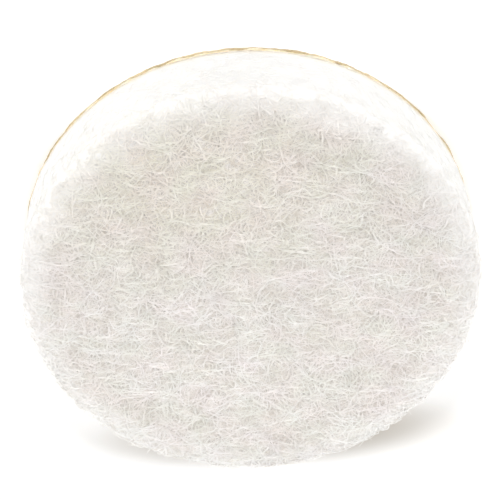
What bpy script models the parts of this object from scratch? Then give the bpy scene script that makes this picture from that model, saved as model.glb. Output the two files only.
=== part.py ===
"""Felt furniture pad: a round die-cut disc of thick white felt, with a self-adhesive back under a release liner.

The pad lies on its liner with the felt face up. The origin is the centre of the liner's outer face, +Z points out
of the felt face, and every size is in metres. Three solids are laminated, from the bottom up: the paper release
liner, the amber adhesive layer and the felt disc.
"""

import math

import bmesh
import bpy

# Driving dimensions
PAD_DIAMETER = 0.025  # across the felt where it is widest, just behind the face's rim
FELT_THICKNESS = 0.0046  # from the glue to the mean height of the nap
ADHESIVE_THICKNESS = 0.0002
LINER_THICKNESS = 0.00012
BOND_GAP = 0.00002  # clearance between laminated faces

# The die enters through the felt face: it draws the rim down and leaves the back of the cut a little narrower
RIM_DRAW = 0.0015  # how far in from the wall the rounded rim starts
RIM_DROP = 0.0007  # how far down the wall the rounded rim reaches
WALL_TAPER = 0.0001  # how much smaller the radius is at the glued back
FOOT_BEVEL = 0.00012  # bevel on the felt's back edge

# Loose fibre stands in tufts on the face, is cut lower on the wall, and is pressed flat where it is glued
TUFT_SIZE = 0.0016
TUFT_HEIGHT = 0.0003
CUT_NAP = 0.4  # nap left on the wall, as a share of the face's

# The liner was cut with the pad, and its burred edge stands a little proud of the glue
LINER_OVERHANG = 0.00003

# Divisions of the felt's surface
FACE_CELLS = 42  # across the face, each way
RIM_RINGS = 5
WALL_RINGS = 7
FACETS = 4 * FACE_CELLS  # round every disc, so that the stacked edges line up

PAD_RADIUS = PAD_DIAMETER / 2
BACK_RADIUS = PAD_RADIUS - WALL_TAPER
ADHESIVE_BOTTOM = LINER_THICKNESS + BOND_GAP
FELT_BOTTOM = ADHESIVE_BOTTOM + ADHESIVE_THICKNESS + BOND_GAP
FELT_TOP = FELT_BOTTOM + FELT_THICKNESS

WHITE_FELT = (0.84, 0.81, 0.77)
AMBER_GLUE = (0.86, 0.60, 0.22)
KRAFT_PAPER = (0.72, 0.56, 0.33)


def clear_scene():
    """Empties the scene, so that the script gives the same model wherever it is run."""
    for old in list(bpy.data.objects):
        bpy.data.objects.remove(old)


def make_material(name, colour, roughness):
    material = bpy.data.materials.new(name)
    material.use_nodes = True
    shader = material.node_tree.nodes["Principled BSDF"]
    shader.inputs["Base Color"].default_value = (*colour, 1.0)
    shader.inputs["Roughness"].default_value = roughness
    shader.inputs["Metallic"].default_value = 0.0
    return material


def add_part(mesh, material, collection):
    """Makes the object of one piece, named as its mesh is, and puts it in the pad's collection."""
    part = bpy.data.objects.new(mesh.name, mesh)
    part.data.materials.append(material)
    collection.objects.link(part)
    return part


def square_to_disc(x, y):
    """Moves a point of the square from -1 to 1 into the unit disc, with square rings going to round ones."""
    if x == 0.0 and y == 0.0:
        return 0.0, 0.0
    if abs(x) >= abs(y):
        radius, angle = x, math.pi / 4 * y / x
    else:
        radius, angle = y, math.pi / 2 - math.pi / 4 * x / y
    return radius * math.cos(angle), radius * math.sin(angle)


def edge_profile():
    """The cut edge as (radius, height), from below the face's rim down the wall to the back."""
    rim_height = FELT_TOP - RIM_DROP
    profile = []
    for ring in range(1, RIM_RINGS + 1):
        angle = math.pi / 2 * (1 - ring / RIM_RINGS)
        profile.append((
            PAD_RADIUS - RIM_DRAW + RIM_DRAW * math.cos(angle),
            rim_height + RIM_DROP * math.sin(angle),
        ))
    wall_height = rim_height - FELT_BOTTOM - FOOT_BEVEL
    for ring in range(1, WALL_RINGS + 1):
        share = ring / WALL_RINGS
        profile.append((PAD_RADIUS - WALL_TAPER * share, rim_height - wall_height * share))
    profile.append((BACK_RADIUS - FOOT_BEVEL, FELT_BOTTOM))
    return profile


def felt_mesh():
    """The felt with an even grid on its face: its outline is drawn down the cut edge and closed at the back."""
    felt = bmesh.new()
    bmesh.ops.create_grid(felt, x_segments=FACE_CELLS, y_segments=FACE_CELLS, size=1.0)
    face_radius = PAD_RADIUS - RIM_DRAW
    for vertex in felt.verts:
        x, y = square_to_disc(vertex.co.x, vertex.co.y)
        vertex.co = (face_radius * x, face_radius * y, FELT_TOP)
    outline = [edge for edge in felt.edges if edge.is_boundary]
    for radius, height in edge_profile():
        drawn = bmesh.ops.extrude_edge_only(felt, edges=outline)["geom"]
        for vertex in (item for item in drawn if isinstance(item, bmesh.types.BMVert)):
            outward = radius / math.hypot(vertex.co.x, vertex.co.y)
            vertex.co = (vertex.co.x * outward, vertex.co.y * outward, height)
        outline = [item for item in drawn if isinstance(item, bmesh.types.BMEdge) and item.is_boundary]
    bmesh.ops.contextual_create(felt, geom=outline)
    bmesh.ops.recalc_face_normals(felt, faces=felt.faces)
    mesh = bpy.data.meshes.new("felt_disc")
    felt.to_mesh(mesh)
    felt.free()
    mesh.shade_smooth()
    return mesh


def raise_nap(part):
    """Lifts the felt's free surface into tufts and leaves the glued back flat."""
    nap = part.vertex_groups.new(name="nap")
    for vertex in part.data.vertices:
        if vertex.co.z > FELT_BOTTOM + FOOT_BEVEL:
            on_face = max(0.0, (vertex.co.z - FELT_TOP + RIM_DROP) / RIM_DROP)
            nap.add([vertex.index], CUT_NAP + (1 - CUT_NAP) * on_face, "REPLACE")
    tufts = bpy.data.textures.new("tufts", "CLOUDS")
    tufts.noise_scale = TUFT_SIZE
    tufts.noise_depth = 1
    lift = part.modifiers.new("tufts", "DISPLACE")
    lift.texture = tufts
    lift.texture_coords = "LOCAL"
    lift.vertex_group = nap.name
    lift.direction = "NORMAL"
    lift.mid_level = 0.5
    lift.strength = TUFT_HEIGHT


def split_quads(part):
    """Splits each four-sided face at its short diagonal, so that the raised nap has no folded slivers."""
    split = part.modifiers.new("split", "TRIANGULATE")
    split.quad_method = "SHORTEST_DIAGONAL"


def disc_mesh(name, radius, bottom, thickness):
    """A closed flat disc."""
    disc = bmesh.new()
    bmesh.ops.create_cone(
        disc,
        cap_ends=True,
        segments=FACETS,
        radius1=radius,
        radius2=radius,
        depth=thickness,
    )
    bmesh.ops.translate(disc, verts=disc.verts, vec=(0.0, 0.0, bottom + thickness / 2))
    mesh = bpy.data.meshes.new(name)
    disc.to_mesh(mesh)
    disc.free()
    return mesh


def make_felt_disc(collection):
    part = add_part(felt_mesh(), make_material("white_felt", WHITE_FELT, 0.95), collection)
    raise_nap(part)
    split_quads(part)


def make_adhesive_layer(collection):
    mesh = disc_mesh("adhesive_layer", BACK_RADIUS, ADHESIVE_BOTTOM, ADHESIVE_THICKNESS)
    add_part(mesh, make_material("amber_adhesive", AMBER_GLUE, 0.35), collection)


def make_release_liner(collection):
    mesh = disc_mesh("release_liner", BACK_RADIUS + LINER_OVERHANG, 0.0, LINER_THICKNESS)
    add_part(mesh, make_material("kraft_release_paper", KRAFT_PAPER, 0.6), collection)


def main():
    clear_scene()
    collection = bpy.data.collections.new("felt_furniture_pad")
    bpy.context.scene.collection.children.link(collection)
    make_felt_disc(collection)
    make_adhesive_layer(collection)
    make_release_liner(collection)


main()
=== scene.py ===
"""Dresses the felt furniture pad: matted fibres, adhesive, release liner, light and camera.

The felt is a closed body with a tufted surface, covered with curled fibres as thin closed tubes. The pad
lies on its liner, and the camera looks down on the face, turned by about half a turn, so that the near side
of the cut wall comes at the top of the picture. Lengths are in metres, except where a comment says
millimetres.
"""

from dataclasses import dataclass
import math

import bpy
import numpy as np
from mathutils import Matrix, Vector


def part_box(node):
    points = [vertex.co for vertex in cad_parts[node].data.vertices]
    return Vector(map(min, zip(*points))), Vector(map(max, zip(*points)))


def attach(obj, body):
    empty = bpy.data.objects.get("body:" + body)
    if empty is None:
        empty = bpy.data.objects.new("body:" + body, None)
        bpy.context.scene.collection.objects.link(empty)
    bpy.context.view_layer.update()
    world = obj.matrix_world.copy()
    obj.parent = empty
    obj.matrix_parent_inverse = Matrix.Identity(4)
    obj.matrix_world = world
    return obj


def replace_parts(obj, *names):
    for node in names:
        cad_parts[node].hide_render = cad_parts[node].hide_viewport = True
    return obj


@dataclass
class Coat:
    """One kind of fibre. Lengths, depths and arches are in millimetres, and ranges are (least, most)."""

    seed: int
    count: int  # in one piece
    segments: int
    length: float  # the middle one
    spread: float  # of the length's logarithm
    limits: tuple  # of the length
    curl: float  # how much a fibre turns, in radians for each metre
    radius: float  # the middle one, in metres
    widths: tuple  # range of the radius, as shares of the middle one
    tones: tuple  # 0 is the darkest strand, 1 the palest
    depth: tuple = ()  # height of the fibre's ends over the tufts
    arch: tuple = ()  # how much higher its middle lies


MM = 0.001

# How the felt's cut edge is shaped, as in the model's solids
RIM_DRAW = 1.5 * MM  # how far in from the wall the rounded rim starts
RIM_DROP = 0.7 * MM  # how far down the wall it reaches
WALL_TAPER = 0.1 * MM  # how much smaller the radius is at the glued back
TUFTS_ABOVE_MEAN = 0.117 * MM  # how far the solid's highest tuft stands over its mean face

# The felt body
FACE_CELLS = 120  # across the face, each way
RIM_RINGS = 7
WALL_RINGS = 18
RIM_POINTS = 65  # on the curve from which places round the rim are read
TUFT_SEED = 11
TUFT_SIZES = ((2.8 * MM, 0.050 * MM), (1.3 * MM, 0.055 * MM), (0.6 * MM, 0.024 * MM))  # size and height
WAVES_PER_SIZE = 24
WAVE_SPREAD = (0.7, 1.4)  # waves in the length of one tuft
CUT_NAP = 0.35  # relief left on the wall, as a share of the face's
NAP_FADE = 0.3 * MM  # how far inside the rim the relief starts to get lower
NAP_FOOT = 0.4 * MM  # over how much of the wall's foot it dies out

# The edges of the glue and the liner. Each ring of points shares the edge's slow waves and adds fine ones
EDGE_POINTS = 720
EDGE_WAVES = 40
SLOW_TURNS = (3, 60)  # waves in one turn
FINE_TURNS = (30, 200)
FINE_WANDER = 0.4  # as a share of the slow waves' size
GLUE_SEED = 21
GLUE_RINGS = 6
GLUE_WANDER = 0.03 * MM
GLUE_BULGE = 0.03 * MM
LINER_SEED = 22
LINER_RINGS = 4
LINER_WANDER = 0.02 * MM
LINER_INSET = 0.03 * MM

# The felt was carded along X
CARDING = 3.5  # how closely the carded fibres keep to it
CARDED_SHARE = 0.9
UNEVEN_CURL = 0.6  # how much the curl varies along a fibre, as a share of the curl

# A mat of short curls covers the face, and longer strays and a few long strands lie over it. Each fibre's
# tone differs at random, and beyond that the low mat is painted darker, as shade, and the strays over it
# paler, as light
MAT_PIECES = 2
STRAY_PIECES = 2
FACE_REACH = 0.75  # how much of the rim's curve these cover too
STRAY_WAVER = 0.010  # millimetres up and down along a stray
LONG_SLANT = 0.35  # radians off the carding
CURL = 1.4 / MM
MAT_RADIUS = 0.018 * MM
STRAY_RADIUS = 0.0205 * MM
MAT = Coat(
    seed=100,
    count=7600,
    segments=4,
    length=0.8,
    spread=0.3,
    limits=(0.5, 2.0),
    curl=CURL,
    radius=MAT_RADIUS,
    widths=(0.75, 1.25),
    # Painted shade: the low mat takes the darker tones
    tones=(0.0, 0.6),
    depth=(-0.09, 0.03),
    arch=(0.01, 0.10),
)
STRAYS = Coat(
    seed=300,
    count=5000,
    segments=5,
    length=1.05,
    spread=0.4,
    limits=(0.5, 3.0),
    curl=CURL,
    radius=STRAY_RADIUS,
    widths=(0.7, 1.2),
    # Painted light: the strays on top take the paler tones
    tones=(0.65, 1.0),
    depth=(-0.04, 0.06),
    arch=(0.04, 0.16),
)
LONG = Coat(
    seed=400,
    count=420,
    segments=12,
    length=3.0,
    spread=0.3,
    limits=(1.6, 5.0),
    curl=0.25 / MM,
    radius=STRAY_RADIUS,
    widths=(0.85, 1.1),
    tones=(0.9, 1.0),
    depth=(0.05, 0.11),
    arch=(0.05, 0.12),
)

# Loose ends stand out round the rim. Their roots start inside it and end a little way down the wall
FUZZ = Coat(
    seed=500,
    count=1500,
    segments=5,
    length=0.7,
    spread=0.3,
    limits=(0.35, 1.4),
    curl=1.3 * CURL,
    radius=0.75 * STRAY_RADIUS,
    widths=(0.8, 1.2),
    tones=(0.5, 0.95),
)
FUZZ_ABOVE_RIM = 0.8 * MM
FUZZ_BELOW_RIM = 0.5 * MM
FUZZ_ROOT = -0.03  # millimetres over the tufts
FUZZ_RISE = 0.06  # millimetres that every loose end rises
FUZZ_EXTRA_RISE = 0.36  # millimetres more for the boldest
FUZZ_BEND = 1.4  # above 1, an end rises more and more steeply

# Short fibres lie flush on the cut wall
WALL = Coat(
    seed=200,
    count=4800,
    segments=4,
    length=0.9,
    spread=0.3,
    limits=(0.4, 1.8),
    curl=CURL,
    radius=MAT_RADIUS,
    widths=(0.75, 1.25),
    tones=(0.93, 1.0),
    depth=(-0.018, 0.003),
    arch=(0.0, 0.02),
)
WALL_START = 0.5  # where on the rim's curve they start
WALL_MARGIN = 0.03 * MM  # kept free above the glue

# Painted light: the mat's fibres get paler near the rim, most of all on the near side, which is a little to
# one side of -Y
PAINTED_RIM_LIGHT = 0.75  # tone added at the most
PAINTED_RIM_LIGHT_START = 1.5 * MM  # how far inside the rim it starts
PAINTED_RIM_LIGHT_REACH = 2.3 * MM
MOST_LIT_SIDE = math.radians(-82)

# A fibre is a tube, with a cell of its own in the map that its colour is baked through
TUBE_SIDES = 3
TIP_TAPER = 0.45
BAKE_CELL_SHARE = 0.7  # how much of its cell a fibre takes
BAKE_TIP = 0.1  # how far its end caps reach beyond that

# Painted shade makes the body between the fibres darker and warmer in its hollows, and painted light leaves
# it pale and even at the rim
PAINTED_HOLLOW_SHADE = ((0.35, (0.64, 0.605, 0.57)), (0.60, (0.88, 0.85, 0.815)))
PAINTED_EDGE_LIGHT = (0.955, 0.95, 0.94)
PAINTED_EDGE_LIGHT_RADII = (10.4 * MM, 12.3 * MM)

# The fibres, from the darkest strand to the palest
STRAND_COLOURS = ((0.0, (0.785, 0.75, 0.705)), (0.5, (0.95, 0.925, 0.89)), (1.0, (0.985, 0.98, 0.975)))

# Patches in the fibres' colour, fading towards the wall, as (offset, size, stretch along X, colour stops)
FELT_PATCHES = (
    # Deeper and paler
    (7 * MM, 2.2 * MM, 1.0, ((0.35, (0.96, 0.945, 0.925)), (0.65, (1.0, 0.99, 0.99)))),
    # Green and pink
    (50 * MM, 1.8 * MM, 1.0, ((0.36, (0.985, 1.0, 0.98)), (0.64, (1.0, 0.98, 0.985)))),
    # Streaks
    (90 * MM, 0.6 * MM, 3.0, ((0.35, (0.95, 0.95, 0.94)), (0.65, (1.0, 1.0, 1.0)))),
)
PATCHES_FADE_RADII = (10.5 * MM, 12.2 * MM)
PATCHES_LEFT = 0.3  # on the wall

# One broad oval of the face is a little warmer in colour
WARM_OVAL = (1.0, 0.985, 0.94)
WARM_OVAL_CENTRE = Vector((2.5, -7.5, 5.0)) * MM
WARM_OVAL_SIZE = Vector((14.0, 9.0, 10.0)) * MM

# Glue has soaked into the foot of the wall
SOAKED = (1.0, 0.945, 0.85)
SOAKED_HEIGHTS = (0.35 * MM, 0.85 * MM)

# Clouds in the glue, and clouds and strands in the liner's paper
GLUE_COLOURS = ((0.3, (0.83, 0.65, 0.38)), (0.5, (0.92, 0.80, 0.57)), (0.75, (0.95, 0.90, 0.78)))
PULP_COLOURS = ((0.35, (0.56, 0.455, 0.285)), (0.65, (0.79, 0.67, 0.45)))
FLECK_COLOURS = ((0.35, (0.80, 0.76, 0.70)), (0.5, (1.0, 1.0, 1.0)), (0.68, (1.0, 1.0, 1.0)))

# The floor glows only where it is seen. A soft oval behind the pad holds a painted shadow over the pad's
# own: there it glows less and its colour is darker and warmer
FLOOR_SIZE = 2.0
FLOOR_COLOUR = (0.80, 0.79, 0.775)
FLOOR_GLOW = 0.32
SHADE_COLOUR = (0.70, 0.655, 0.59)
SHADE_GLOW = 0.0
SHADE_CENTRE = Vector((-1.1, 13.5, 0.0)) * MM
SHADE_SIZE = Vector((13.0, 3.1, 10.0)) * MM
SHADE_EDGE = 0.6  # the oval's soft share

# Light from all sides
WORLD_STRENGTH = 0.41

# Lamps round the pad. Angles are in degrees, and azimuth 0 is on the camera's side and grows towards +X
LAMP_DISTANCE = 0.5
KEY_AZIMUTH = 45  # one on each side
KEY_ELEVATION = 45
KEY_SIZE = 0.08
KEY_POWER = 0.94
SIDE_AZIMUTH = 90  # one on each side, low down
SIDE_ELEVATION = 8
SIDE_SIZE = 0.12
SIDE_LEFT_POWER = 0.48
SIDE_RIGHT_POWER = 0.58

# A small lamp behind the pad gives back the light that its far edge would get from a white table
BOUNCE_PLACE = Vector((0.0, 19.5, 15.0)) * MM
BOUNCE_AIM = Vector((0.0, -1.0, 5.0)) * MM
BOUNCE_WIDTH = 50 * MM
BOUNCE_HEIGHT = 14 * MM
BOUNCE_POWER = 0.0012
BOUNCE_BEAM = 80

# Camera, fitted to the photo's outline of the face and its back edge, with angles in degrees
CAMERA_DISTANCE = 150 * MM
CAMERA_ELEVATION = 54.97
CAMERA_ROLL = 176.81
CAMERA_LENS = 198.96
AIM_FROM_FACE = Vector((-0.037, -2.725, 0.0)) * MM

# The colour sockets among those of a Mix node
MIX_FIRST, MIX_SECOND, MIX_RESULT = 6, 7, 2


def along(low, high, count):
    return np.linspace(low, high, count)


def tuft_waves():
    """Random plane waves whose sum is the height of the tufts: wave vectors, phases and heights."""
    draw = np.random.default_rng(TUFT_SEED)
    vectors, phases, heights = [], [], []
    for size, height in TUFT_SIZES:
        direction = draw.normal(size=(WAVES_PER_SIZE, 3))
        direction /= np.linalg.norm(direction, axis=1, keepdims=True)
        vectors.append(direction * 2 * math.pi / size * draw.uniform(*WAVE_SPREAD, (WAVES_PER_SIZE, 1)))
        phases.append(draw.uniform(0, 2 * math.pi, WAVES_PER_SIZE))
        heights.append(np.full(WAVES_PER_SIZE, height * math.sqrt(2 / WAVES_PER_SIZE)))
    return np.concatenate(vectors), np.concatenate(phases), np.concatenate(heights)


class FeltSurface:
    """The felt's outer surface, addressed by run and angle.

    The run is the distance from the face's centre along the surface before its nap is raised: over the
    face, round the rim and down the wall. The lean is the angle between the surface's normal and +Z.
    """

    def __init__(self, low, high):
        self.base = low.z
        self.top = high.z - TUFTS_ABOVE_MEAN
        self.radius = (high.x - low.x) / 2
        face = self.radius - RIM_DRAW
        rim_angle = along(0.0, math.pi / 2, RIM_POINTS)
        radii = [0.0, *(face + RIM_DRAW * np.sin(rim_angle)), self.radius - WALL_TAPER]
        heights = [self.top, *(self.top - RIM_DROP * (1 - np.cos(rim_angle))), self.base]
        rim_lean = np.arctan2(RIM_DROP * np.sin(rim_angle), RIM_DRAW * np.cos(rim_angle))
        leans = [0.0, *rim_lean, math.pi / 2]
        steps = np.hypot(np.diff(radii), np.diff(heights))
        self.runs = np.concatenate([[0.0], np.cumsum(steps)])
        self.radii, self.heights, self.leans = np.array(radii), np.array(heights), np.array(leans)
        self.face_run = face
        self.rim_run = self.runs[-2]
        self.full_run = self.runs[-1]
        self.waves = tuft_waves()

    def on_rim(self, share):
        """The run at a share of the rim's curve."""
        return self.face_run + share * (self.rim_run - self.face_run)

    def smooth_points(self, run, angle):
        """Points before the nap is raised, and outward normals."""
        radius = np.interp(run, self.runs, self.radii)
        height = np.interp(run, self.runs, self.heights)
        lean = np.interp(run, self.runs, self.leans)
        out = np.stack([np.cos(angle), np.sin(angle)], axis=-1)
        places = np.concatenate([out * radius[..., None], height[..., None]], axis=-1)
        normals = np.concatenate([out * np.sin(lean)[..., None], np.cos(lean)[..., None]], axis=-1)
        return places, normals

    def nap_share(self, run):
        """How much of the face's relief is left: all on the face, less on the wall, none at the back."""
        middle_of_rim = (self.face_run + self.rim_run) / 2
        share = np.interp(run, [self.face_run - NAP_FADE, middle_of_rim], [1.0, CUT_NAP])
        return share * np.clip((self.full_run - run) / NAP_FOOT, 0.0, 1.0)

    def tuft_height(self, places):
        total = np.zeros(places.shape[:-1])
        for vector, phase, height in zip(*self.waves):
            total += height * np.sin(places @ vector + phase)
        return total

    def points(self, run, angle, lift=0.0):
        """Points at a height over the tufts, and outward normals."""
        places, normals = self.smooth_points(run, angle)
        raised = self.tuft_height(places) * self.nap_share(run) + lift
        return places + normals * raised[..., None], normals


def mesh_from(name, places, faces, smooth=True):
    mesh = bpy.data.meshes.new(name)
    mesh.from_pydata(places, [], faces)
    mesh.update()
    if smooth:
        mesh.shade_smooth()
    return mesh


def add_piece(mesh, material):
    piece = bpy.data.objects.new(mesh.name, mesh)
    mesh.materials.append(material)
    bpy.context.scene.collection.objects.link(piece)
    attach(piece, "root")
    return piece


def square_to_disc(x, y):
    """Moves points of the square from -1 to 1 to the unit disc, and gives their radius and angle there."""
    wide = np.abs(x) >= np.abs(y)
    longer = np.where(wide, x, y)
    ratio = np.where(wide, y, x) / np.where(longer == 0, 1, longer)
    angle = np.where(wide, math.pi / 4 * ratio, math.pi / 2 - math.pi / 4 * ratio)
    return np.abs(longer), np.where(longer < 0, angle + math.pi, angle)


def felt_body_mesh(surface):
    """A closed body: an even grid on the face, rings down the cut edge, and one flat face at the back."""
    line = along(-1.0, 1.0, FACE_CELLS + 1)
    x, y = (grid.ravel() for grid in np.meshgrid(line, line))
    share, angle = square_to_disc(x, y)
    index = np.arange((FACE_CELLS + 1) ** 2).reshape(FACE_CELLS + 1, FACE_CELLS + 1)
    corners = (index[:-1, :-1], index[:-1, 1:], index[1:, 1:], index[1:, :-1])
    faces = [np.stack(corners, axis=-1).reshape(-1, 4)]
    outline = np.concatenate([index[0, :-1], index[:-1, -1], index[-1, :0:-1], index[:0:-1, 0]])
    runs, angles = [share * surface.face_run], [angle]

    rim = along(surface.face_run, surface.rim_run, RIM_RINGS + 1)[1:]
    wall = along(surface.rim_run, surface.full_run, WALL_RINGS + 1)[1:]
    ring_above = outline
    count = len(share)
    for run in np.concatenate([rim, wall]):
        ring = count + np.arange(len(outline))
        runs.append(np.full(len(outline), run))
        angles.append(angle[outline])
        faces.append(np.stack([ring_above, ring, np.roll(ring, -1), np.roll(ring_above, -1)], axis=-1))
        ring_above = ring
        count += len(outline)

    places, _ = surface.points(np.concatenate(runs), np.concatenate(angles))
    everything = np.concatenate(faces).tolist()
    everything.append(ring_above[::-1].tolist())
    return mesh_from("felt_body", places, everything)


def any_angle(draw, count):
    return draw.uniform(0, 2 * math.pi, count)


def carded(draw, count):
    """Headings of fibres: most were carded along X, one way or the other, and the rest lie anyhow."""
    combed = draw.vonmises(0.0, CARDING, count) + math.pi * draw.integers(0, 2, count)
    loose = any_angle(draw, count)
    return np.where(draw.random(count) < CARDED_SHARE, combed, loose)


def nearly_straight(draw, count):
    """Headings close to the carding's."""
    return draw.normal(0.0, LONG_SLANT, count)


def wander(draw, coat, lie):
    """Flat random paths about each path's middle: offsets across and up, one row for each fibre.

    The lie is the function that draws the headings in which the paths start.
    """
    length = draw.lognormal(math.log(coat.length), coat.spread, coat.count)
    length = np.clip(length, *coat.limits) * MM
    heading = lie(draw, coat.count)
    step = (length / coat.segments)[:, None]
    whole_bend = draw.normal(0.0, coat.curl, (coat.count, 1))
    bend = whole_bend + draw.normal(0.0, coat.curl * UNEVEN_CURL, (coat.count, coat.segments))
    turned = heading[:, None] + np.cumsum(bend * step, axis=1)
    start = np.zeros((coat.count, 1))
    across = np.concatenate([start, np.cumsum(np.cos(turned) * step, axis=1)], axis=1)
    up = np.concatenate([start, np.cumsum(np.sin(turned) * step, axis=1)], axis=1)
    return across - across.mean(axis=1, keepdims=True), up - up.mean(axis=1, keepdims=True)


def laid_on_face(draw, coat, lie, surface):
    """Paths at random places on the face and over most of its rim, as X and Y."""
    across, up = wander(draw, coat, lie)
    run = surface.on_rim(FACE_REACH) * np.sqrt(draw.random(coat.count))
    angle = any_angle(draw, coat.count)
    return (run * np.cos(angle))[:, None] + across, (run * np.sin(angle))[:, None] + up


def arched(draw, coat):
    """Height over the tufts along each fibre: its ends dive into the mat and its middle rises."""
    share = along(-1.0, 1.0, coat.segments + 1)[None]
    low = draw.uniform(*coat.depth, (coat.count, 1)) * MM
    rise = draw.uniform(*coat.arch, (coat.count, 1)) * MM
    return low + rise * (1 - share**2)


def radii_and_tones(draw, coat):
    radius = coat.radius * draw.uniform(*coat.widths, coat.count)
    return radius, draw.uniform(*coat.tones, coat.count)


def painted_rim_light(surface, x, y, tone):
    """Paints light on the fibres that lie near and over the face's rim: raises their tone, most of all on
    the near side.
    """
    x, y = x.mean(axis=1), y.mean(axis=1)
    share = np.clip((np.hypot(x, y) - surface.face_run + PAINTED_RIM_LIGHT_START) / PAINTED_RIM_LIGHT_REACH, 0.0, 1.0)
    nearness = (0.5 + 0.5 * np.cos(np.arctan2(y, x) - MOST_LIT_SIDE)) ** 2
    return np.clip(tone + PAINTED_RIM_LIGHT * share * nearness, 0.0, 1.0)


def bake_map(count, rings):
    """Where the corners of each fibre's faces lie in its cell: those of its sides, then of its caps."""
    cells = math.ceil(math.sqrt(count))
    fibre = np.arange(count)
    cell = np.stack([fibre % cells, fibre // cells], axis=-1)[:, None, None, :] + 0.5
    run = (along(0.0, 1.0, rings) - 0.5) * BAKE_CELL_SHARE
    turn = (along(0.0, 1.0, TUBE_SIDES + 1) - 0.5) * BAKE_CELL_SHARE
    grid = np.stack(np.meshgrid(run, turn, indexing="ij"), axis=-1)
    sides = np.stack([grid[:-1, :-1], grid[:-1, 1:], grid[1:, 1:], grid[1:, :-1]], axis=2)
    first, last = grid[0, TUBE_SIDES - 1 :: -1].copy(), grid[-1, :TUBE_SIDES].copy()
    first[1, 0] -= BAKE_TIP
    last[1, 0] += BAKE_TIP
    spots = [(cell + block) / cells for block in (sides.reshape(1, -1, 4, 2), first[None], last[None])]
    return np.concatenate([block.ravel() for block in spots])


def tube_mesh(name, centres, normals, radius, tone):
    """Closed tubes through rows of centres, one row for each fibre."""
    count, rings, _ = centres.shape
    tangent = np.gradient(centres, axis=1)
    tangent /= np.linalg.norm(tangent, axis=2, keepdims=True)
    side = np.cross(tangent, normals)
    side /= np.linalg.norm(side, axis=2, keepdims=True)
    above = np.cross(side, tangent)
    taper = 1.0 - TIP_TAPER * np.abs(along(-1.0, 1.0, rings)) ** 4
    thick = radius[:, None, None] * taper[None, :, None]
    corners = []
    for corner in range(TUBE_SIDES):
        angle = math.pi / 6 + corner * 2 * math.pi / TUBE_SIDES
        corners.append(centres + thick * (math.cos(angle) * side + math.sin(angle) * above))
    places = np.stack(corners, axis=2).reshape(-1, 3)

    index = np.arange(len(places)).reshape(count, rings, TUBE_SIDES)
    following = np.roll(index, -1, axis=2)
    quads = np.stack([index[:, :-1], following[:, :-1], following[:, 1:], index[:, 1:]], axis=-1)
    caps = np.concatenate([index[:, 0, ::-1], index[:, -1]])
    mesh = mesh_from(name, places, quads.reshape(-1, 4).tolist() + caps.tolist(), smooth=False)
    tones = mesh.attributes.new("tone", "FLOAT", "POINT")
    tones.data.foreach_set("value", np.repeat(tone, rings * TUBE_SIDES))
    layer = mesh.uv_layers.new(name="OFBake")
    layer.data.foreach_set("uv", bake_map(count, rings))
    return mesh


def face_mat(number, surface):
    """Short fibres that cover the face and its rim."""
    draw = np.random.default_rng(MAT.seed + number)
    x, y = laid_on_face(draw, MAT, carded, surface)
    lift = arched(draw, MAT)
    radius, tone = radii_and_tones(draw, MAT)
    centres, normals = surface.points(np.hypot(x, y), np.arctan2(y, x), lift)
    # The mat's tones carry painted light near the rim
    return tube_mesh(f"face_fibres_{number}", centres, normals, radius, painted_rim_light(surface, x, y, tone))


def face_strays(number, surface):
    """Longer fibres that lie loosely over the mat, painted paler than it, as light on top."""
    draw = np.random.default_rng(STRAYS.seed + number)
    x, y = laid_on_face(draw, STRAYS, carded, surface)
    lift = arched(draw, STRAYS)
    lift += draw.normal(0.0, STRAY_WAVER, lift.shape) * MM
    centres, normals = surface.points(np.hypot(x, y), np.arctan2(y, x), lift)
    return tube_mesh(f"stray_fibres_{number}", centres, normals, *radii_and_tones(draw, STRAYS))


def long_fibres(surface):
    """A few long smooth fibres that lie across the face as the carding left them."""
    draw = np.random.default_rng(LONG.seed)
    x, y = laid_on_face(draw, LONG, nearly_straight, surface)
    lift = arched(draw, LONG)
    centres, normals = surface.points(np.hypot(x, y), np.arctan2(y, x), lift)
    return tube_mesh("long_fibres", centres, normals, *radii_and_tones(draw, LONG))


def rim_fuzz(surface):
    """Loose ends that stand out from the rim and the edge of the face."""
    draw = np.random.default_rng(FUZZ.seed)
    across, up = wander(draw, FUZZ, any_angle)
    root = draw.uniform(surface.face_run - FUZZ_ABOVE_RIM, surface.rim_run + FUZZ_BELOW_RIM, FUZZ.count)
    angle = any_angle(draw, FUZZ.count)[:, None] + across / surface.radius
    free = along(0.0, 1.0, FUZZ.segments + 1)[None] ** FUZZ_BEND
    rise = FUZZ_RISE + FUZZ_EXTRA_RISE * draw.random((FUZZ.count, 1)) ** 2
    lift = (FUZZ_ROOT + rise * free) * MM
    centres, normals = surface.points(root[:, None] + up, angle, lift)
    return tube_mesh("rim_fuzz", centres, normals, *radii_and_tones(draw, FUZZ))


def wall_mat(surface):
    """Short fibres on the cut wall, which the die left flush and even."""
    draw = np.random.default_rng(WALL.seed)
    across, up = wander(draw, WALL, carded)
    run = draw.uniform(surface.on_rim(WALL_START), surface.full_run, WALL.count)
    run = np.clip(run[:, None] + up, 0.0, surface.full_run - WALL_MARGIN)
    angle = any_angle(draw, WALL.count)[:, None] + across / surface.radius
    lift = arched(draw, WALL)
    centres, normals = surface.points(run, angle, lift)
    return tube_mesh("wall_fibres", centres, normals, *radii_and_tones(draw, WALL))


def uneven_edge(draw, angle, size, turns):
    """A smooth random offset round a disc's edge, made of whole waves."""
    offset = np.zeros_like(angle)
    for turn, phase in zip(draw.integers(*turns, EDGE_WAVES), any_angle(draw, EDGE_WAVES)):
        offset += np.sin(turn * angle + phase)
    return size * offset / math.sqrt(EDGE_WAVES / 2)


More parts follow.
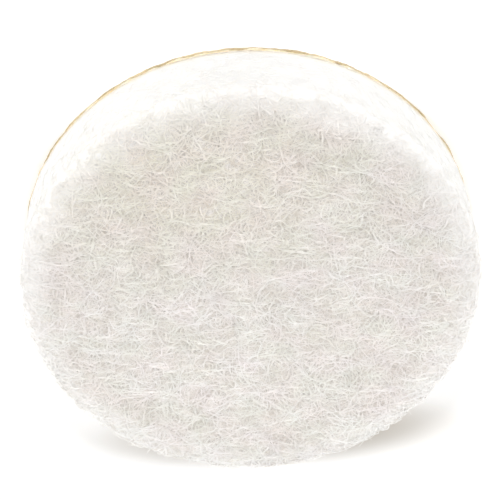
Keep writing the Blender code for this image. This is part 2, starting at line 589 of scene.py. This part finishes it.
def sheet_mesh(name, box, rings, inset, bulge, wander_by, seed):
    """A closed thin disc, as high as a solid's box, whose edge wanders and bulges.

    Its rings of points run from its lower face, up its edge, to its upper face.
    """
    draw = np.random.default_rng(seed)
    low, high = (Vector(corner) for corner in box)
    radius = (high.x - low.x) / 2 - inset
    angle = np.arange(EDGE_POINTS) * 2 * math.pi / EDGE_POINTS
    slow = uneven_edge(draw, angle, wander_by, SLOW_TURNS)
    places = []
    for height, share in zip(along(low.z, high.z, rings), along(-1.0, 1.0, rings)):
        fine = uneven_edge(draw, angle, wander_by * FINE_WANDER, FINE_TURNS)
        edge = radius + slow + bulge * (1 - share**2) + fine
        ring = (edge * np.cos(angle), edge * np.sin(angle), np.full_like(angle, height))
        places.append(np.stack(ring, axis=-1))
    index = np.arange(rings * EDGE_POINTS).reshape(rings, EDGE_POINTS)
    following = np.roll(index, -1, axis=1)
    quads = np.stack([index[:-1], following[:-1], following[1:], index[1:]], axis=-1).reshape(-1, 4)
    faces = [*quads.tolist(), index[0, ::-1].tolist(), index[-1].tolist()]
    return mesh_from(name, np.concatenate(places), faces, smooth=False)


def glue_mesh():
    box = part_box("adhesive_layer")
    return sheet_mesh("glue_layer", box, GLUE_RINGS, GLUE_BULGE, GLUE_BULGE, GLUE_WANDER, GLUE_SEED)


def liner_mesh():
    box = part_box("release_liner")
    return sheet_mesh("liner_sheet", box, LINER_RINGS, LINER_INSET, 0.0, LINER_WANDER, LINER_SEED)


class Nodes:
    """Short ways to add and join shader nodes of one material or world."""

    def __init__(self, tree):
        self.tree = tree

    def add(self, kind, **values):
        node = self.tree.nodes.new(kind)
        for name, value in values.items():
            setattr(node, name, value)
        return node

    def join(self, source, target):
        self.tree.links.new(source, target)


def new_material(name, roughness):
    material = bpy.data.materials.new(name)
    material.use_nodes = True
    shader = material.node_tree.nodes["Principled BSDF"]
    shader.inputs["Roughness"].default_value = roughness
    return material, shader, Nodes(material.node_tree)


def ramp(nodes, factor, stops):
    """A colour that goes through the given (place, colour) stops."""
    node = nodes.add("ShaderNodeValToRGB")
    elements = node.color_ramp.elements
    while len(elements) < len(stops):
        elements.new(1.0)
    for element, (place, colour) in zip(elements, stops):
        element.position = place
        element.color = (*colour, 1.0)
    nodes.join(factor, node.inputs["Fac"])
    return node.outputs["Color"]


def noise(nodes, coordinates, size, detail, distortion=0.0):
    texture = nodes.add("ShaderNodeTexNoise")
    texture.inputs["Scale"].default_value = 1.0 / size
    texture.inputs["Detail"].default_value = detail
    texture.inputs["Distortion"].default_value = distortion
    nodes.join(coordinates, texture.inputs["Vector"])
    return texture.outputs["Fac"]


def bump(nodes, shader, height, strength, distance):
    """Roughens a surface by the height that a texture gives."""
    node = nodes.add("ShaderNodeBump")
    node.inputs["Strength"].default_value = strength
    node.inputs["Distance"].default_value = distance
    nodes.join(height, node.inputs["Height"])
    nodes.join(node.outputs["Normal"], shader.inputs["Normal"])


def smooth_share(nodes, value, low, high):
    """A value that goes smoothly from 0 at the low one to 1 at the high one."""
    share = nodes.add("ShaderNodeMapRange", interpolation_type="SMOOTHSTEP")
    share.inputs["From Min"].default_value = low
    share.inputs["From Max"].default_value = high
    nodes.join(value, share.inputs["Value"])
    return share.outputs["Result"]


def between(nodes, share, first, last):
    """A value that goes from the first one to the last as the share goes from 0 to 1."""
    value = nodes.add("ShaderNodeMapRange")
    value.inputs["To Min"].default_value = first
    value.inputs["To Max"].default_value = last
    nodes.join(share, value.inputs["Value"])
    return value.outputs["Result"]


def oval(nodes, where, centre, size, edge):
    """1 in the middle of an oval, and softly 0 at its edge, over the given share of its size."""
    placed = nodes.add("ShaderNodeMapping", vector_type="TEXTURE")
    placed.inputs["Location"].default_value = centre
    placed.inputs["Scale"].default_value = size
    nodes.join(where, placed.inputs["Vector"])
    inward = nodes.add("ShaderNodeTexGradient", gradient_type="SPHERICAL")
    nodes.join(placed.outputs["Vector"], inward.inputs["Vector"])
    return smooth_share(nodes, inward.outputs["Fac"], 0.0, edge)


def by_height(nodes, where, low, high):
    parts = nodes.add("ShaderNodeSeparateXYZ")
    nodes.join(where, parts.inputs["Vector"])
    return smooth_share(nodes, parts.outputs["Z"], low, high)


def by_radius(nodes, where, low, high):
    flat = nodes.add("ShaderNodeVectorMath", operation="MULTIPLY")
    flat.inputs[1].default_value = (1.0, 1.0, 0.0)
    nodes.join(where, flat.inputs[0])
    radius = nodes.add("ShaderNodeVectorMath", operation="LENGTH")
    nodes.join(flat.outputs["Vector"], radius.inputs[0])
    return smooth_share(nodes, radius.outputs["Value"], low, high)


def mixed(nodes, factor, first, second, blend="MIX"):
    """Mixes two colours, each given as a value or as another node's output."""
    mix = nodes.add("ShaderNodeMix", data_type="RGBA", blend_type=blend)
    sockets = (mix.inputs["Factor"], mix.inputs[MIX_FIRST], mix.inputs[MIX_SECOND])
    for value, socket in zip((factor, first, second), sockets):
        if isinstance(value, bpy.types.NodeSocket):
            nodes.join(value, socket)
        elif isinstance(value, tuple):
            socket.default_value = (*value, 1.0)
        else:
            socket.default_value = value
    return mix.outputs[MIX_RESULT]


def soaked_foot(nodes, where, colour):
    """Warms the lowest part of the wall, where glue has soaked into the felt."""
    above = by_height(nodes, where, *SOAKED_HEIGHTS)
    soaked = mixed(nodes, 1.0, colour, SOAKED, "MULTIPLY")
    return mixed(nodes, above, soaked, colour)


def felt_body_material():
    """The mat below the fibres that show."""
    material, shader, nodes = new_material("felt_mat", roughness=0.95)
    where = nodes.add("ShaderNodeTexCoord").outputs["Object"]
    strands = noise(nodes, where, size=0.16 * MM, detail=5.0, distortion=1.5)
    # Painted shade: the body is darker and warmer where its bump is low
    shaded_hollows = ramp(nodes, strands, PAINTED_HOLLOW_SHADE)
    # Painted light: it turns pale and even towards the rim and on the wall
    colour = mixed(nodes, by_radius(nodes, where, *PAINTED_EDGE_LIGHT_RADII), shaded_hollows, PAINTED_EDGE_LIGHT)
    nodes.join(soaked_foot(nodes, where, colour), shader.inputs["Base Color"])
    bump(nodes, shader, strands, strength=0.7, distance=0.05 * MM)
    return material


def patched(nodes, where, colour):
    """Tints the fibres in soft patches, less of it on the wall, and makes one broad oval a little warmer.
    """
    share = between(nodes, by_radius(nodes, where, *PATCHES_FADE_RADII), 1.0, PATCHES_LEFT)
    for offset, size, stretch, stops in FELT_PATCHES:
        moved = nodes.add("ShaderNodeMapping")
        moved.inputs["Location"].default_value = (offset, 0.0, 0.0)
        moved.inputs["Scale"].default_value = (1.0 / stretch, 1.0, 1.0)
        nodes.join(where, moved.inputs["Vector"])
        tint = ramp(nodes, noise(nodes, moved.outputs["Vector"], size, detail=2.0), stops)
        colour = mixed(nodes, share, colour, tint, "MULTIPLY")
    warm_oval = oval(nodes, where, WARM_OVAL_CENTRE, WARM_OVAL_SIZE, edge=1.0)
    return mixed(nodes, warm_oval, colour, WARM_OVAL, "MULTIPLY")


def fibre_material():
    """White polyester fibre, with each strand's tone, which differs at random and also holds painted shade
    low in the mat and painted light on top and near the rim.
    """
    material, shader, nodes = new_material("felt_fibre", roughness=0.6)
    where = nodes.add("ShaderNodeTexCoord").outputs["Object"]
    tone = nodes.add("ShaderNodeAttribute", attribute_name="tone").outputs["Fac"]
    colour = patched(nodes, where, ramp(nodes, tone, STRAND_COLOURS))
    nodes.join(soaked_foot(nodes, where, colour), shader.inputs["Base Color"])
    shader.inputs["Sheen Weight"].default_value = 0.25
    shader.inputs["Sheen Roughness"].default_value = 0.6
    return material


def glue_material():
    """Clear amber glue with the odd bubble and smear along its edge."""
    material, shader, nodes = new_material("amber_glue", roughness=0.25)
    where = nodes.add("ShaderNodeTexCoord").outputs["Object"]
    clouds = noise(nodes, where, size=0.7 * MM, detail=4.0, distortion=0.6)
    nodes.join(ramp(nodes, clouds, GLUE_COLOURS), shader.inputs["Base Color"])
    bubbles = noise(nodes, where, size=0.12 * MM, detail=2.0)
    bump(nodes, shader, bubbles, strength=0.4, distance=0.03 * MM)
    shader.inputs["Subsurface Weight"].default_value = 0.3
    shader.inputs["Subsurface Radius"].default_value = (1.0, 0.6, 0.2)
    shader.inputs["Subsurface Scale"].default_value = 0.3 * MM
    return material


def liner_material():
    """Kraft paper: cloudy tan pulp with fine darker strands, and a faint sheen from its release coat."""
    material, shader, nodes = new_material("kraft_liner", roughness=0.45)
    where = nodes.add("ShaderNodeTexCoord").outputs["Object"]
    pulp = ramp(nodes, noise(nodes, where, size=1.6 * MM, detail=6.0, distortion=0.4), PULP_COLOURS)
    stretched = nodes.add("ShaderNodeMapping")
    stretched.inputs["Scale"].default_value = (1.0, 5.0, 1.0)
    nodes.join(where, stretched.inputs["Vector"])
    strands = noise(nodes, stretched.outputs["Vector"], size=0.5 * MM, detail=5.0, distortion=2.0)
    paper = mixed(nodes, 1.0, pulp, ramp(nodes, strands, FLECK_COLOURS), "MULTIPLY")
    nodes.join(paper, shader.inputs["Base Color"])
    bump(nodes, shader, strands, strength=0.3, distance=0.02 * MM)
    return material


def seen_directly(nodes):
    """1 where the camera looks, straight or by way of metal or glass, and 0 for the light on things."""
    path = nodes.add("ShaderNodeLightPath")
    most = path.outputs["Is Camera Ray"]
    for name in ("Is Glossy Ray", "Is Transmission Ray"):
        larger = nodes.add("ShaderNodeMath", operation="MAXIMUM")
        nodes.join(most, larger.inputs[0])
        nodes.join(path.outputs[name], larger.inputs[1])
        most = larger.outputs[0]
    return most


def floor_material():
    """A white floor that keeps the pad's shadow: it adds light of its own only where the camera sees it,
    less in an oval behind the pad, where a darker, warmer colour paints more shadow.
    """
    material, shader, nodes = new_material("white_floor", roughness=0.9)
    where = nodes.add("ShaderNodeTexCoord").outputs["Object"]
    # Painted shadow: the oval behind the pad
    shade = oval(nodes, where, SHADE_CENTRE, SHADE_SIZE, SHADE_EDGE)
    nodes.join(mixed(nodes, shade, FLOOR_COLOUR, SHADE_COLOUR), shader.inputs["Base Color"])
    glow = nodes.add("ShaderNodeMath", operation="MULTIPLY")
    nodes.join(between(nodes, shade, FLOOR_GLOW, SHADE_GLOW), glow.inputs[0])
    nodes.join(seen_directly(nodes), glow.inputs[1])
    shader.inputs["Emission Color"].default_value = (1.0, 1.0, 1.0, 1.0)
    nodes.join(glow.outputs[0], shader.inputs["Emission Strength"])
    return material


def add_floor():
    bpy.ops.mesh.primitive_plane_add(size=FLOOR_SIZE, location=(0.0, 0.0, 0.0))
    floor = bpy.context.object
    floor.name = "floor"
    floor.data.materials.append(floor_material())


def add_world():
    """White behind everything, and an even pale light from all sides."""
    world = bpy.data.worlds.new("studio")
    bpy.context.scene.world = world
    world.use_nodes = True
    nodes = Nodes(world.node_tree)
    background = world.node_tree.nodes["Background"]
    background.inputs["Color"].default_value = (1.0, 1.0, 1.0, 1.0)
    strength = between(nodes, seen_directly(nodes), WORLD_STRENGTH, 1.0)
    nodes.join(strength, background.inputs["Strength"])


def around(azimuth, elevation, distance):
    """A place round the pad."""
    turn, rise = math.radians(azimuth), math.radians(elevation)
    out = math.cos(rise)
    return distance * Vector((math.sin(turn) * out, -math.cos(turn) * out, math.sin(rise)))


def add_lamp(name, place, aim, width, height, power, beam=180):
    """A soft oblong lamp that the camera doesn't see, with its beam's full angle in degrees."""
    lamp = bpy.data.lights.new(name, "AREA")
    lamp.shape = "RECTANGLE"
    lamp.size = width
    lamp.size_y = height
    lamp.energy = power
    lamp.spread = math.radians(beam)
    obj = bpy.data.objects.new(name, lamp)
    bpy.context.scene.collection.objects.link(obj)
    obj.location = place
    obj.rotation_euler = (aim - place).to_track_quat("-Z", "Y").to_euler()
    obj.visible_camera = False


def add_distant_lamp(name, azimuth, elevation, size, power):
    """A square lamp that looks at the pad from its own side."""
    place = around(azimuth, elevation, LAMP_DISTANCE)
    add_lamp(name, place, Vector((0.0, 0.0, 0.0)), size, size, power)


def add_lights():
    add_world()
    add_distant_lamp("key_left", -KEY_AZIMUTH, KEY_ELEVATION, KEY_SIZE, KEY_POWER)
    add_distant_lamp("key_right", KEY_AZIMUTH, KEY_ELEVATION, KEY_SIZE, KEY_POWER)
    add_distant_lamp("side_low_left", -SIDE_AZIMUTH, SIDE_ELEVATION, SIDE_SIZE, SIDE_LEFT_POWER)
    add_distant_lamp("side_low_right", SIDE_AZIMUTH, SIDE_ELEVATION, SIDE_SIZE, SIDE_RIGHT_POWER)
    add_lamp("bounce", BOUNCE_PLACE, BOUNCE_AIM, BOUNCE_WIDTH, BOUNCE_HEIGHT, BOUNCE_POWER, BOUNCE_BEAM)


def add_camera(face_centre):
    camera = bpy.data.cameras.new("camera")
    camera.lens = CAMERA_LENS
    camera.clip_start = 1 * MM
    obj = bpy.data.objects.new("camera", camera)
    bpy.context.scene.collection.objects.link(obj)
    place = face_centre + around(0, CAMERA_ELEVATION, CAMERA_DISTANCE)
    looking = (face_centre + AIM_FROM_FACE - place).to_track_quat("-Z", "Y").to_matrix()
    turned = looking @ Matrix.Rotation(math.radians(CAMERA_ROLL), 3, "Z")
    obj.matrix_world = Matrix.Translation(place) @ turned.to_4x4()
    bpy.context.scene.camera = obj


def add_pad(surface):
    """The felt's body and fibres, the glue and the liner, which stand for their solids."""
    body = add_piece(felt_body_mesh(surface), felt_body_material())
    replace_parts(body, "felt_disc")
    coats = [face_mat(number, surface) for number in range(1, MAT_PIECES + 1)]
    coats += [face_strays(number, surface) for number in range(1, STRAY_PIECES + 1)]
    coats += [long_fibres(surface), rim_fuzz(surface), wall_mat(surface)]
    strands = fibre_material()
    for coat in coats:
        add_piece(coat, strands)
    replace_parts(add_piece(glue_mesh(), glue_material()), "adhesive_layer")
    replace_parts(add_piece(liner_mesh(), liner_material()), "release_liner")


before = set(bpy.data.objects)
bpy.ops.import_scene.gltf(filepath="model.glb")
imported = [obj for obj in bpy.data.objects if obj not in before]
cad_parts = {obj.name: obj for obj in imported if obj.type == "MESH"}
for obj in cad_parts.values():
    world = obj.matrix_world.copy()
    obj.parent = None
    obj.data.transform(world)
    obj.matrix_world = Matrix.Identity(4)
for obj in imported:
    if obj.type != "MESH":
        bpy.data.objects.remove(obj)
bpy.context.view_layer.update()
bpy.context.scene.view_settings.view_transform = "Standard"

felt = FeltSurface(*(Vector(corner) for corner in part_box("felt_disc")))
add_pad(felt)
add_floor()
add_lights()
add_camera(Vector((0.0, 0.0, felt.top)))
